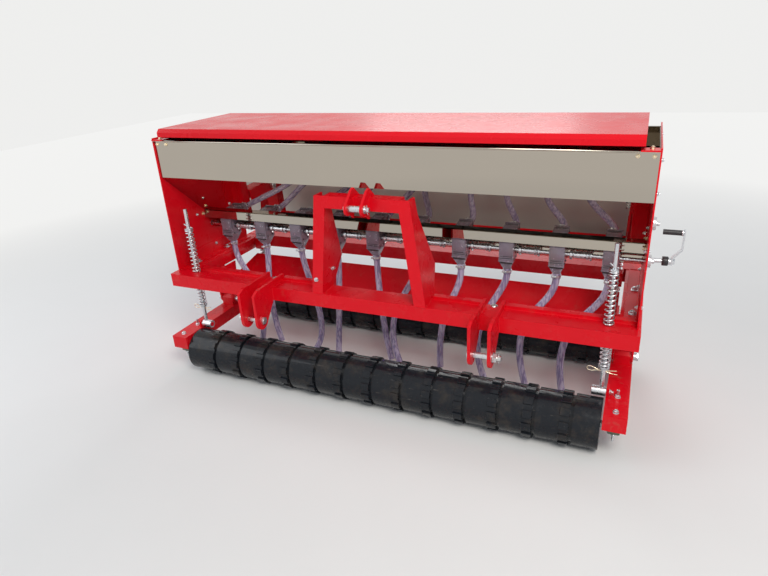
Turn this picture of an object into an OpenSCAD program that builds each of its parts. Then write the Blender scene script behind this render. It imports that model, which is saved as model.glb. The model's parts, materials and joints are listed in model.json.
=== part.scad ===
// Seed drill for a three-point hitch: a welded frame on two packer rollers, a
// V-shaped seed hopper between two side plates, and a row of seed cups with drop tubes.
// Inside each sub-part, y = 0 is the front face of the front beam and z = 0 is the ground.

/* [Frame] */
// Working width: length of each packer roller
roller_w = 1824; // [1500:2:2000]
// Front face of the front beam to the rear face of the rear beam
frame_d = 710; // [690:5:760]
// Underside of the frame tubes above the ground
frame_z = 420; // [400:5:460]
// Height of all frame tubes
tube_h = 60; // [50:1:70]
// Depth of the front beam and the rear beam
beam_d = 100; // [96:1:110]
// Width of the side rails
rail_w = 60; // [50:1:70]
// Wall of the frame tubes
tube_wall = 5; // [3:0.5:8]
// Thickness of the side plates
plate_t = 5; // [3:0.5:8]
// Outer face of a side plate inside the end of the beam
plate_inset = 9; // [5:1:20]
// Front edge of the side plates behind the front face of the beam
plate_y = 45; // [35:1:50]
// Depth of the side plates
plate_d = 535; // [525:1:560]
// Top edge of the side plates above the frame
plate_h = 610; // [600:5:640]

/* [Rollers] */
// Radius of the plain drum
drum_r = 95; // [85:1:100]
// Radius over the teeth of the notched rings
ring_r = 102; // [98:1:110]
// Radius of the groove beside each ring
groove_r = 86; // [78:1:90]
// Number of notched rings on each roller
rings = 13; // [5:1:15]
// Number of teeth round a ring
teeth = 12; // [8:1:16]
// Width of a notched ring
ring_w = 35; // [25:1:45]
// Width of the groove beside a ring
groove_w = 12; // [6:1:16]
// Radius of the roller shafts
axle_r = 12.5; // [10:0.5:16]
// Front roller axis behind the front face of the beam
roller_y = 8; // [0:1:20]

/* [Rocker arms] */
// Width of an arm tube
arm_w = 80; // [60:1:90]
// Height of an arm tube
arm_h = 60; // [50:1:70]
// Arm tube past each roller axis
arm_over = 84; // [70:1:95]
// Shaft centre to the base of a bearing block
block_h = 33; // [30:1:40]
// Radius of the pivot bolts
pivot_r = 10; // [8:0.5:12]
// Pivot bolt above the arm tube
pivot_up = 32; // [28:1:38]

/* [Spring rods] */
// Radius of the spring rods
rod_r = 8; // [6:0.5:10]
// Radius of the wire of the springs
wire_r = 3; // [2:0.25:4]
// Mean radius of the springs
coil_r = 16; // [14:0.5:20]
// Spring rods inside the arm's inner face
rod_in = 18; // [16:1:30]
// Length of the springs above the beam
spring_top = 205; // [160:5:240]
// Length of the springs below the beam
spring_low = 105; // [90:5:130]

/* [Hitch] */
// Centre of each lower hitch clevis from the middle
lug_x = 490; // [420:5:560]
// Gap between the two plates of a lower clevis
lug_gap = 60; // [50:1:70]
// Thickness of the hitch plates
lug_t = 12; // [10:1:16]
// Radius of the lower hitch pins
low_pin_r = 11; // [9:0.5:14.5]
// Lower hitch pins above the ground
low_pin_z = 365; // [350:1:385]
// Radius of the top link pin
top_pin_r = 9.5; // [9:0.5:12.5]
// Top link pin above the ground
top_pin_z = 864; // [820:1:900]
// Gap between the two plates of the top link clevis
top_gap = 54; // [50:1:60]

/* [Hopper] */
// Thickness of the stainless sheet
sheet = 2; // [1.5:0.25:3]
// Height of the hopper rim
rim_z = 1078; // [1060:1:1090]
// Lower edge of the upright front panel
knee_z = 920; // [900:5:940]
// Height of the hopper floor
floor_z = 707; // [700:1:715]
// Front panel behind the front edge of the side plates
panel_in = 7; // [4:1:20]
// Height of the lid
lid_h = 33; // [28:1:45]

/* [Seed metering] */
// Width of a seed cup
cup_w = 58; // [50:1:70]
// Radius of the metering shaft
meter_r = 8; // [7:0.5:10]
// Outer radius of the seed tubes
hose_r = 15; // [12:0.5:18]
// Height of the crank's grip above its hub
crank_len = 115; // [100:5:150]
// Reach of the crank outside the end of the beam
crank_out = 115; // [100:5:140]

/* [Hidden] */

red = "#c8102a";
steel = "#c9ccd0";
zinc = "#b9bcc2";
black = "#16181c";
clear = "#b9aec4";

round_fn = 48;
gap = 0.3;
run_gap = 0.05;

// The arms stand just outside the rollers, and the frame covers them.
end_gap = 6;
arm_cover = 87;
shaft_over = 20;
arm_in = roller_w / 2 + end_gap;
half_w = arm_in + arm_cover;
shaft_half = half_w + shaft_over;

// The middle of the whole object is at x = 0 and y = 0 once it is placed.
rear_axle_in = 78;
rear_axle_y = frame_d - rear_axle_in;
lug_front = 130;
x_mid = (half_w + crank_out - shaft_half) / 2;
y_mid = (rear_axle_y + ring_r - lug_front) / 2;

beam_top = frame_z + tube_h;
rear_beam_y = frame_d - beam_d;
plate_x = half_w - plate_inset;
plate_top = beam_top + plate_h;
plate_rear = plate_y + plate_d;
axle_z = ring_r;
pivot_y = (roller_y + rear_axle_y) / 2;
arm_z = axle_z + block_h;
arm_top = arm_z + arm_h;
arm_mid = arm_in + arm_w / 2;
pivot_z = arm_top + pivot_up;

// The metering shaft in the cups, and the stirring shaft above it in the hopper.
meter_y = plate_y + 280;
meter_z = floor_z - 78;
stir_z = floor_z + 66;
cup_d = 70;

// Places the drawing of a sub-part in the object's own frame.
module place() {
    translate([-x_mid, -y_mid, 0])
    children();
}

// A copy on each side of the middle.
module both_sides() {
    children();
    mirror([1, 0, 0])
    children();
}

// Pushes a side profile, drawn with y across and z up, from x0 along the width.
module along_x(x0, len) {
    translate([x0, 0, 0])
    rotate([90, 0, 90])
    linear_extrude(len)
    children();
}

// A round bar along the width, centred on y and z.
module bar_x(x0, len, y, z, r) {
    translate([x0, y, z])
    rotate([0, 90, 0])
    cylinder(h = len, r = r, $fn = round_fn);
}

// A box from its low corner to its high corner.
module block(low, high) {
    translate(low)
    cube(high - low);
}

// Outline of a bent sheet: the given line, and the same line one thickness to its left.
function unit(v) = v / norm(v);
function left_of(v) = [-v[1], v[0]];
function leg(line, i) = unit(line[i] - line[i - 1]);
function mitre(line, i, t) =
    let (last = len(line) - 1,
        n1 = left_of(leg(line, max(i, 1))),
        n2 = left_of(leg(line, min(i + 1, last))))
    line[i] + t * (n1 + n2) / (1 + n1 * n2);
function sheet_outline(line, t) =
    concat(line, [for (i = [len(line) - 1:-1:0]) mitre(line, i, t)]);

// Frame

module front_beam() {
    color(red)
    place()
    difference() {
        block([-half_w, 0, frame_z], [half_w, beam_d, beam_top]);
        block([-half_w - 1, tube_wall, frame_z + tube_wall],
            [half_w + 1, beam_d - tube_wall, beam_top - tube_wall]);
        both_sides()
        translate([rod_x, front_rod_y, frame_z - 1])
        cylinder(h = tube_h + 2, r = rod_r + 2, $fn = round_fn);
    }
}

module rear_beam() {
    color(red)
    place()
    difference() {
        block([-half_w, rear_beam_y, frame_z], [half_w, frame_d, beam_top]);
        block([-half_w - 1, rear_beam_y + tube_wall, frame_z + tube_wall],
            [half_w + 1, frame_d - tube_wall, beam_top - tube_wall]);
    }
}

module side_rails() {
    color(red)
    place()
    both_sides()
    difference() {
        block([half_w - rail_w, beam_d, frame_z], [half_w, rear_beam_y, beam_top]);
        block([half_w - rail_w + tube_wall, beam_d - 1, frame_z + tube_wall],
            [half_w - tube_wall, rear_beam_y + 1, beam_top - tube_wall]);
    }
}

// Raised strip along the rear edge of the front beam.
strip_y = 84;
strip_w = 28;
strip_t = 12;
lug_in = lug_x - lug_gap / 2 - lug_t;
lug_out = lug_x + lug_gap / 2 + lug_t;
module beam_strip() {
    color(red)
    place()
    both_sides()
    for (span = [[leg_foot + leg_w + gap, lug_in - gap], [lug_out + gap, inner_x - gap]])
        block([span[0], strip_y, beam_top], [span[1], strip_y + strip_w, beam_top + strip_t]);
}

// Side plates stand on the beam and the rails and close the ends of the hopper.
module side_plates() {
    color(red)
    place()
    both_sides()
    difference() {
        along_x(plate_x - plate_t, plate_t)
        polygon([[plate_y, beam_top], [plate_rear, beam_top], [plate_rear, plate_top],
            [plate_y, plate_top]]);
        bar_x(plate_x - plate_t - 1, plate_t + 2, meter_y, meter_z, meter_r + 6);
        bar_x(plate_x - plate_t - 1, plate_t + 2, meter_y, stir_z, meter_r + 6);
    }
}

// Angles that bolt the side plates down to the rails.
angle_w = 40;
angle_h = 60;
angle_t = 5;
angle_y = strip_y + strip_w + gap;
module plate_angles() {
    color(red)
    place()
    both_sides()
    translate([inner_x, angle_y, beam_top])
    rotate([90, 0, 180])
    linear_extrude(plate_rear - 20 - angle_y)
    polygon([[0, 0], [angle_w, 0], [angle_w, angle_t], [angle_t, angle_t], [angle_t, angle_h],
        [0, angle_h]]);
}

// Hitch

mast_top = top_pin_z + 31;
leg_top = 148;
leg_foot = 200;
leg_w = 48;
leg_t = 8;
mast_d = 56;
mast_bulge_y = 165;
mast_bulge_z = beam_top + 120;
mast_slim_z = mast_top - 67;
head_h = 48;

// A strip that leans with the mast leg, drawn from the front and pushed back.
module leaning(from, width, depth) {
    rotate([90, 0, 0])
    translate([0, 0, -depth])
    linear_extrude(depth)
    polygon([[leg_foot + from, beam_top], [leg_foot + from + width, beam_top],
        [leg_top + from + width, mast_top], [leg_top + from, mast_top]]);
}

// One leg of the mast: a channel, open to the rear, whose sides widen above the beam.
module mast_leg() {
    leaning(0, leg_w, leg_t);
    for (from = [0, leg_w - leg_t])
        intersection() {
            leaning(from, leg_t, 2 * mast_bulge_y);
            along_x(0, leg_foot + 2 * leg_w)
            polygon([[0, beam_top], [beam_d, beam_top], [mast_bulge_y, mast_bulge_z],
                [mast_d + 6, mast_slim_z], [mast_d, mast_top], [0, mast_top]]);
        }
}

module mast() {
    color(red)
    place() {
        both_sides()
        mast_leg();
        // cross head between the legs
        along_x(-leg_top - leg_t, 2 * (leg_top + leg_t))
        polygon([[0, mast_top - head_h], [leg_t, mast_top - head_h], [leg_t, mast_top - leg_t],
            [mast_d, mast_top - leg_t], [mast_d, mast_top], [0, mast_top]]);
    }
}

// Two curved ears on the cross head carry the top link pin.
ear_r = 26;
ear_t = 10;
top_pin_y = -40;
module top_link_clevis() {
    color(red)
    place()
    both_sides()
    translate([top_gap / 2, 0, 0])
    difference() {
        union() {
            along_x(0, ear_t)
            polygon([[0, mast_top - head_h - 30], [0, mast_top], [mast_d, mast_top],
                [mast_d - 12, mast_top + 10], [12, mast_top + 36], [-8, mast_top + 30],
                [top_pin_y - ear_r * 0.7, top_pin_z + ear_r * 0.7],
                [top_pin_y + ear_r * 0.6, top_pin_z - ear_r * 0.8]]);
            bar_x(0, ear_t, top_pin_y, top_pin_z, ear_r);
        }
        bar_x(-1, ear_t + 2, top_pin_y, top_pin_z, top_pin_r + run_gap);
    }
}

// Lower clevis plates clasp the front beam.
low_pin_y = -92;
lug_end_r = lug_front + low_pin_y;
module lug_plate() {
    difference() {
        union() {
            along_x(0, lug_t)
            polygon([[-lug_front, low_pin_z],
                [low_pin_y + lug_end_r * 0.6, low_pin_z - lug_end_r * 0.8],
                [0, frame_z], [0, beam_top], [beam_d, beam_top],
                [beam_d, beam_top + 25], [-lug_front + 30, beam_top + 25],
                [-lug_front, beam_top + 10]]);
            bar_x(0, lug_t, low_pin_y, low_pin_z, lug_end_r);
        }
        bar_x(-1, lug_t + 2, low_pin_y, low_pin_z, low_pin_r + run_gap);
    }
}

module lower_lugs() {
    color(red)
    place()
    both_sides()
    for (x = [lug_x - lug_gap / 2 - lug_t, lug_x + lug_gap / 2])
        translate([x, 0, 0])
        lug_plate();
}

module hitch_pins() {
    color(zinc)
    place() {
        both_sides()
        bar_x(lug_x - lug_gap / 2 - lug_t - 10, lug_gap + 2 * lug_t + 40, low_pin_y, low_pin_z,
            low_pin_r);
        bar_x(-top_gap / 2 - 20, top_gap + 50, top_pin_y, top_pin_z, top_pin_r);
        bar_x(-top_gap / 2 + 1, top_gap - 2, top_pin_y, top_pin_z, top_pin_r + 3);
    }
}

// Hopper

panel_y = plate_y + panel_in;
floor_front = meter_y - 40;
floor_rear = meter_y + 25;
rear_y = plate_rear - 36;
rear_knee_z = 900;
inner_x = plate_x - plate_t;
rim_lip = 12;

hopper_line = [[panel_y - rim_lip, rim_z], [panel_y, rim_z], [panel_y, knee_z],
    [floor_front, floor_z], [floor_rear, floor_z], [rear_y, rear_knee_z], [rear_y, rim_z],
    [rear_y + rim_lip, rim_z]];

// One bent sheet, open at both ends, with a slot in its floor over each cup.
module hopper() {
    color(steel)
    place()
    difference() {
        along_x(-inner_x, 2 * inner_x)
        polygon(sheet_outline(hopper_line, sheet));
        for (i = [0:cups - 1])
            translate([cup_x(i), meter_y, floor_z])
            cube([30, 40, 4 * sheet], center = true);
    }
}

// Flat sheets that close the two ends of the hopper.
module hopper_ends() {
    inside = [for (i = [1:len(hopper_line) - 2])
        let (p = mitre(hopper_line, i, sheet + gap))
        [p[0], min(p[1], rim_z)]];
    color(steel)
    place()
    both_sides()
    difference() {
        along_x(inner_x - sheet, sheet)
        polygon(inside);
        bar_x(inner_x - sheet - 1, sheet + 2, meter_y, stir_z, meter_r + 6);
    }
}

// Stainless strips under the hopper: a low one in front of the cups and a skirt behind them.
bar_h = 36;
bar_t = 3;
skirt_y = meter_y + cup_d / 2 + 1;
skirt_h = 107;
skirt_top = floor_z + (skirt_y - floor_rear) * (rear_knee_z - floor_z) / (rear_y - floor_rear);
module hopper_bar() {
    color(steel)
    place() {
        along_x(-inner_x, 2 * inner_x)
        polygon([[floor_front - bar_t, floor_z - bar_h], [floor_front, floor_z - bar_h],
            [floor_front, floor_z - bar_t], [floor_front + bar_t, floor_z - bar_t],
            [floor_front + bar_t, floor_z], [floor_front - bar_t, floor_z]]);
        block([-inner_x, skirt_y, floor_z - skirt_h], [inner_x, skirt_y + sheet, skirt_top - gap]);
    }
}

// Corner brackets that hold the rim of the hopper to the side plates.
bracket_w = 55;
bracket_t = 5;
bracket_front = panel_y - rim_lip - 4;
bracket_d = 46;
module hopper_brackets() {
    color(red)
    place()
    both_sides()
    along_x(inner_x - bracket_w, bracket_w)
    translate([bracket_front, rim_z + sheet])
    square([bracket_d, bracket_t]);
}

// Lid

hinge_r = 5;
lid_lift = 12;
hinge_y = rear_y + rim_lip + 10;
hinge_z = rim_z + 22;
lid_front = panel_y - rim_lip - 8;
lid_rear = rear_y + rim_lip - 2;
lid_z = rim_z + sheet + bracket_t + lid_lift;
lid_side = 43;
lid_w = 2 * (inner_x - lid_side);
lid_bend = 14;
hinge_x = inner_x * 2 / 3;
hinge_places = [-hinge_x, 0, hinge_x];
knuckle = 30;
knuckle_r = hinge_r + 3;

module lid() {
    color(red)
    place()
    difference() {
        union() {
            difference() {
                along_x(-lid_w / 2, lid_w)
                polygon([[lid_front, lid_z], [lid_rear, lid_z],
                    [lid_rear, lid_z + lid_h - lid_bend], [lid_rear - lid_bend, lid_z + lid_h],
                    [lid_front + lid_bend, lid_z + lid_h], [lid_front, lid_z + lid_h - lid_bend]]);
                along_x(-lid_w / 2 + sheet, lid_w - 2 * sheet)
                polygon([[lid_front + sheet, lid_z - 1], [lid_rear - sheet, lid_z - 1],
                    [lid_rear - sheet, lid_z + lid_h - lid_bend - sheet / 2],
                    [lid_rear - lid_bend - sheet / 2, lid_z + lid_h - sheet],
                    [lid_front + lid_bend + sheet / 2, lid_z + lid_h - sheet],
                    [lid_front + sheet, lid_z + lid_h - lid_bend - sheet / 2]]);
            }
            for (x = hinge_places) {
                bar_x(x + gap, knuckle, hinge_y, hinge_z, knuckle_r);
                block([x + gap, lid_rear, hinge_z - 3], [x + gap + knuckle, hinge_y, hinge_z + 6]);
            }
        }
        for (x = hinge_places)
            bar_x(x - 1, knuckle + 3, hinge_y, hinge_z, hinge_r + run_gap);
    }
}

module lid_hinges() {
    color(zinc)
    place()
    for (x = hinge_places) {
        bar_x(x - knuckle, knuckle, hinge_y, hinge_z, knuckle_r);
        block([x - knuckle, rear_y, rim_z - 60], [x, rear_y + 4, rim_z - sheet]);
        block([x - knuckle, rear_y, rim_z - 30], [x, hinge_y, rim_z - 26]);
        block([x - knuckle, hinge_y - 2, rim_z - 30], [x, hinge_y + 2, hinge_z - 4]);
        bar_x(x - gap, knuckle + 4, hinge_y, hinge_z, hinge_r);
    }
}

// Seed metering

cup_top = floor_z;
cup_low = floor_z - 122;
spout_z = floor_z - 177;
cup_wall = 3;
cups = 10;
cup_end = 113.5;
cup_pitch = 2 * (inner_x - cup_end) / (cups - 1);
function cup_x(i) = (i - (cups - 1) / 2) * cup_pitch;

// The funnel of a cup seen square on: half its width at the top, and the spout below.
spout_h = 20;
module funnel_view(half) {
    polygon([[-half, cup_low], [half, cup_low], [hose_r, spout_z + spout_h],
        [-hose_r, spout_z + spout_h]]);
}

// A clear box round the metering wheel, with a funnel and a spout below it.
module seed_cup() {
    difference() {
        union() {
            block([-cup_w / 2, meter_y - cup_d / 2, cup_low],
                [cup_w / 2, meter_y + cup_d / 2, cup_top]);
            intersection() {
                along_x(-cup_w / 2, cup_w)
                translate([meter_y, 0])
                funnel_view(cup_d / 2);
                translate([0, meter_y + cup_d / 2, 0])
                rotate([90, 0, 0])
                linear_extrude(cup_d)
                funnel_view(cup_w / 2);
            }
            translate([0, meter_y, spout_z])
            cylinder(h = spout_h, r = hose_r, $fn = round_fn);
        }
        block([-cup_w / 2 + cup_wall, meter_y - cup_d / 2 + cup_wall, cup_low],
            [cup_w / 2 - cup_wall, meter_y + cup_d / 2 - cup_wall, cup_top + 1]);
        bar_x(-cup_w, 2 * cup_w, meter_y, meter_z, meter_r + 5);
        translate([0, meter_y, spout_z - 1])
        cylinder(h = cup_low - spout_z + 2, r = hose_r - cup_wall, $fn = round_fn);
    }
}

module seed_cups() {
    color(clear, 0.6)
    place()
    for (i = [0:cups - 1])
        translate([cup_x(i), 0, 0])
        seed_cup();
}

// The metering shaft with a seed wheel inside each cup and a collar between cups.
wheel_r = 22;
wheel_w = 40;
collar_w = 50;
module meter_shaft() {
    color(zinc)
    place() {
        bar_x(-shaft_half, 2 * shaft_half, meter_y, meter_z, meter_r);
        for (i = [0:cups - 1])
            bar_x(cup_x(i) - wheel_w / 2, wheel_w, meter_y, meter_z, wheel_r);
        for (i = [0:cups - 2])
            bar_x(cup_x(i) + (cup_pitch - collar_w) / 2, collar_w, meter_y, meter_z,
                meter_r + 5);
    }
}

// The stirring shaft inside the hopper, with fingers.
finger_w = 8;
finger_reach = 38;
module agitator() {
    color(zinc)
    place() {
        bar_x(-shaft_half, 2 * shaft_half, meter_y, stir_z, meter_r);
        for (i = [0:cups - 1])
            translate([cup_x(i), meter_y, stir_z])
            cube([finger_w, finger_w, 2 * finger_reach], center = true);
    }
}

// Flanged bearings on the outside of the side plates.
flange_r = 38;
flange_t = 6;
hub_r = 24;
hub_t = 18;
module shaft_bearings() {
    color(zinc)
    place()
    both_sides()
    for (z = [meter_z, stir_z])
        difference() {
            union() {
                bar_x(plate_x, flange_t, meter_y, z, flange_r);
                bar_x(plate_x, hub_t, meter_y, z, hub_r);
            }
            bar_x(plate_x - 1, hub_t + 2, meter_y, z, meter_r + run_gap);
        }
}

// Crank for turning the metering by hand, on the right side: a shaft, a collar and a bent
// flat arm.
crank_y = meter_y + 95;
crank_z = meter_z - 29;
crank_set = 30;
crank_r = 9;
crank_w = 24;
crank_t = 6;
crank_x = half_w + crank_out;
grip_r = 10;
grip_len = 70;
module crank() {
    color(zinc)
    place() {
        bar_x(plate_x, 8, crank_y, crank_z, 22);
        bar_x(plate_x, crank_x - crank_set - plate_x, crank_y, crank_z, crank_r);
        translate([0, crank_y + crank_w / 2, crank_z])
        rotate([90, 0, 0])
        linear_extrude(crank_w)
        polygon(sheet_outline([[crank_x - crank_set, -crank_w / 2],
            [crank_x - crank_set, crank_w / 2], [crank_x, crank_w / 2 + 38],
            [crank_x, crank_len + crank_w / 2]], crank_t));
    }
}

// The grip folds in towards the side plate.
module crank_grip() {
    color(black)
    place()
    bar_x(crank_x - crank_t - grip_len, grip_len, crank_y, crank_z + crank_len, grip_r);
}

// Cover of the drive, under the right side rail.
guard_y = crank_y - 18;
guard_d = 80;
guard_in = 10;
guard_lift = 8;
module drive_guard() {
    color(black)
    place()
    block([half_w - rail_w - guard_in, guard_y, arm_top + guard_lift],
        [half_w - guard_in, guard_y + guard_d, frame_z]);
}

// Sloping sheet between the rollers, behind the drop tubes. Its end plates bolt to the legs.
shield_t = 3;
shield_low = [pivot_y + 120, frame_z - 135];
shield_high = [pivot_y + 230, frame_z - 25];
module seed_shield() {
    color(red)
    place() {
        along_x(-arm_in, 2 * arm_in)
        polygon(sheet_outline([shield_low, shield_high], -shield_t));
        both_sides()
        along_x(arm_in - shield_t, shield_t)
        polygon([[pivot_y + 20, frame_z - 120], shield_low, shield_high,
            [pivot_y + 20, frame_z - 70]]);
    }
}

// Running gear

// The legs hang from the side rails and fork over the arms.
leg_d = 84;
leg_plate = 8;
leg_end_r = pivot_up - 8;
module pivot_legs() {
    color(red)
    place()
    both_sides()
    difference() {
        union() {
            for (x = [arm_in, arm_in + arm_w - leg_plate]) {
                along_x(x, leg_plate)
                polygon([[pivot_y - leg_d / 2, frame_z], [pivot_y + leg_d / 2, frame_z],
                    [pivot_y + leg_end_r, pivot_z], [pivot_y - leg_end_r, pivot_z]]);
                bar_x(x, leg_plate, pivot_y, pivot_z, leg_end_r);
            }
            along_x(arm_in + leg_plate, arm_w - 2 * leg_plate)
            polygon([[pivot_y - leg_d / 2, frame_z], [pivot_y - leg_d / 2 + leg_plate, frame_z],
                [pivot_y - 32 + leg_plate, pivot_z + 60], [pivot_y - 36, pivot_z + 60]]);
        }
        bar_x(arm_in - 1, arm_w + 2, pivot_y, pivot_z, pivot_r + run_gap);
    }
}

// A lug on the arm carries a stub inside the arm for the eye of each spring rod.
stub_lug_t = 10;
module rocker_arms() {
    color(red)
    place()
    both_sides()
    difference() {
        union() {
            block([arm_in, roller_y - arm_over, arm_z],
                [arm_in + arm_w, rear_axle_y + arm_over, arm_top]);
            along_x(arm_in + leg_plate + 1, arm_w - 2 * leg_plate - 2)
            polygon([[pivot_y - 24, arm_top], [pivot_y + 24, arm_top],
                [pivot_y + 22, pivot_z + 8], [pivot_y + 10, pivot_z + 22],
                [pivot_y - 10, pivot_z + 22], [pivot_y - 22, pivot_z + 8]]);
            for (y = [front_rod_y, rear_rod_y]) {
                bar_x(eye_x - 2, arm_in - eye_x + 2, y, stub_z, stub_r);
                block([arm_in, y - 20, arm_top], [arm_in + stub_lug_t, y + 20, stub_z + 20]);
            }
        }
        bar_x(arm_in - 1, arm_w + 2, pivot_y, pivot_z, pivot_r + run_gap);
    }
}

module pivot_bolts() {
    color(zinc)
    place()
    both_sides() {
        bar_x(arm_in - 12, arm_w + 24, pivot_y, pivot_z, pivot_r);
        bar_x(arm_in + arm_w, 12, pivot_y, pivot_z, 16);
        bar_x(arm_in - 12, 12, pivot_y, pivot_z, 16);
    }
}

block_w = 34;
block_d = 128;
block_foot = 14;
block_r = 31;
module bearing_blocks() {
    color("#4f5b45")
    place()
    both_sides()
    for (y = [roller_y, rear_axle_y])
        difference() {
            union() {
                block([arm_mid - block_w / 2, y - block_d / 2, arm_z - block_foot],
                    [arm_mid + block_w / 2, y + block_d / 2, arm_z]);
                bar_x(arm_mid - block_w / 2, block_w, y, axle_z, block_r);
            }
            bar_x(arm_mid - block_w, 2 * block_w, y, axle_z, axle_r + run_gap);
        }
}

// A packer roller: plain drum, notched rings and a groove to the right of each ring.
first_ring = 148;
last_ring = 104;
ring_pitch = (roller_w - first_ring - last_ring) / (rings - 1);
notch_r = 93;
tooth_part = 0.57;
ring_turn = 10;
function ring_right(i) = -roller_w / 2 + first_ring + i * ring_pitch;
notch_w = 2 * PI * ring_r / teeth * (1 - tooth_part);
notch_h = ring_r - notch_r + 2;
module notched_ring(turn) {
    difference() {
        cylinder(h = ring_w, r = ring_r, $fn = round_fn);
        translate([0, 0, -1])
        linear_extrude(ring_w + 2)
        for (k = [0:teeth - 1])
            rotate(turn + k * 360 / teeth)
            translate([notch_r, -notch_w / 2])
            square([notch_h, notch_w]);
    }
}

module roller() {
    difference() {
        union() {
            bar_x(-roller_w / 2, roller_w, 0, axle_z, drum_r);
            for (i = [0:rings - 1])
                translate([ring_right(i) - ring_w, 0, axle_z])
                rotate([0, 90, 0])
                notched_ring(i * ring_turn);
        }
        bar_x(-roller_w / 2 - 1, roller_w + 2, 0, axle_z, axle_r);
        for (i = [0:rings - 1])
            difference() {
                bar_x(ring_right(i), groove_w, 0, axle_z, ring_r);
                bar_x(ring_right(i) - 1, groove_w + 2, 0, axle_z, groove_r);
            }
    }
}

module front_roller() {
    color(black)
    place()
    translate([0, roller_y, 0])
    roller();
}

module rear_roller() {
    color(black)
    place()
    translate([0, rear_axle_y, 0])
    roller();
}

axle_half = arm_mid + 24;
module front_axle() {
    color(zinc)
    place()
    bar_x(-axle_half, 2 * axle_half, roller_y, axle_z, axle_r);
}

module rear_axle() {
    color(zinc)
    place()
    bar_x(-axle_half, 2 * axle_half, rear_axle_y, axle_z, axle_r);
}

// Spring rods: front and rear, both sides

rod_x = arm_in - rod_in;
front_rod_y = 58;
rear_rod_y = 2 * pivot_y - front_rod_y;
stub_z = arm_top + 16;
stub_r = 10;
eye_r = 18;
eye_w = 50;
eye_x = rod_x - 33;
rod_top = beam_top + spring_top + 95;
washer_t = 4;
module spring_rods() {
    color(zinc)
    place()
    both_sides()
    for (y = [front_rod_y, rear_rod_y]) {
        difference() {
            union() {
                translate([rod_x, y, stub_z])
                cylinder(h = rod_top - stub_z, r = rod_r, $fn = round_fn);
                bar_x(eye_x, eye_w, y, stub_z, eye_r);
            }
            bar_x(eye_x - 1, eye_w + 2, y, stub_z, stub_r + run_gap);
        }
        for (z = [beam_top + spring_top, frame_z - spring_low - washer_t])
            translate([rod_x, y, z])
            cylinder(h = washer_t, r = coil_r + wire_r, $fn = round_fn);
    }
}

// A coil spring of round wire with closed end turns, from z0 up.
coil_steps = 10;
coil_sides = 5;
function coil_rise(turn, turns, len) =
    let (shut = 2 * wire_r + 0.5, open = (len - 2 * wire_r - 2 * shut) / (turns - 2))
    turn < 1 ? turn * shut
    : turn > turns - 1 ? len - 2 * wire_r - (turns - turn) * shut
    : shut + (turn - 1) * open;
function coil_path(turns, len) = [for (k = [0:turns * coil_steps])
    let (turn = k / coil_steps)
    [coil_r * cos(360 * turn), coil_r * sin(360 * turn), coil_rise(turn, turns, len)]];
module spring(z0, len, turns) {
    translate([0, 0, z0 + wire_r])
    coil(coil_path(turns, len));
}

// The wire's cross-section stays upright all along the coil.
module coil(path) {
    n = len(path);
    points = [for (k = [0:n - 1], s = [0:coil_sides - 1])
        let (a = 360 * k / coil_steps, w = -360 * s / coil_sides)
        path[k] + wire_r * [cos(w) * cos(a), cos(w) * sin(a), sin(w)]];
    swept_skin(points, n, coil_sides);
}

module springs() {
    color(zinc)
    place()
    both_sides()
    for (y = [front_rod_y, rear_rod_y])
        translate([rod_x, y, 0]) {
            spring(beam_top, spring_top, 12);
            spring(frame_z - spring_low, spring_low, 7);
        }
}

// Skin over rings of points, closed at both ends.
module swept_skin(points, n, sides) {
    walls = [for (k = [0:n - 2], s = [0:sides - 1])
        [k * sides + s, k * sides + (s + 1) % sides,
            (k + 1) * sides + (s + 1) % sides, (k + 1) * sides + s]];
    start = [for (s = [sides - 1:-1:0]) s];
    end = [for (s = [0:sides - 1]) (n - 1) * sides + s];
    polyhedron(points, concat(walls, [start], [end]), convexity = 4);
}

// Bored plates ahead of the rear beam for the rear spring rods.
bracket_side = 22;
module rod_brackets() {
    color(red)
    place()
    both_sides()
    difference() {
        block([rod_x - bracket_side, rear_rod_y - 30, frame_z],
            [rod_x + bracket_side, rear_beam_y, beam_top]);
        translate([rod_x, rear_rod_y, frame_z - 1])
        cylinder(h = tube_h + 2, r = rod_r + 2, $fn = round_fn);
    }
}

// Seed tubes

// Each row: how far the tube hangs straight down, how far it is drawn sideways, y and z of
// its bend, how far aside it ends, and y and z of its open end.
tube_rows = [
    [160, 239, 245, 394, 173, 215, 76],
    [120, 15, 245, 276, 94, 215, 84],
    [120, 181, 245, 200, 93, 215, 79],
    [120, 9, 250, 180, 19, 215, 76],
    [120, 43, 262, 180, 88, 235, 76],
    [120, -166, 235, 337, -50, 195, 91],
    [160, -85, 250, 410, -62, 215, 95],
    [120, -173, 250, 330, -63, 215, 76],
    [160, -190, 245, 415, -83, 215, 76],
    [160, -204, 245, 415, -130, 215, 76]];

function bezier(p, t) =
    pow(1 - t, 3) * p[0] + 3 * pow(1 - t, 2) * t * p[1] + 3 * (1 - t) * t * t * p[2]
    + pow(t, 3) * p[3];
function tube_curve(i) =
    let (row = tube_rows[i], x = cup_x(i))
    [[x, meter_y, spout_z], [x, meter_y, spout_z - row[0]],
        [x + row[1], row[2], row[3]], [x + row[4], row[5], row[6]]];
tube_steps = 8;
function tube_path(i) = [for (k = [0:tube_steps]) bezier(tube_curve(i), k / tube_steps)];
function tangent(path, k) =
    k == 0 ? [0, 0, -1] : unit(path[min(k + 1, len(path) - 1)] - path[k - 1]);
function ring_at(path, k, r, sides) =
    let (d = tangent(path, k), a = unit(cross(d, [0, 1, 0.01])), b = cross(d, a))
    [for (s = [0:sides - 1])
        path[k] + r * (cos(360 * s / sides) * a + sin(360 * s / sides) * b)];

module swept(path, r, sides) {
    points = [for (k = [0:len(path) - 1]) each ring_at(path, k, r, sides)];
    swept_skin(points, len(path), sides);
}

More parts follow.
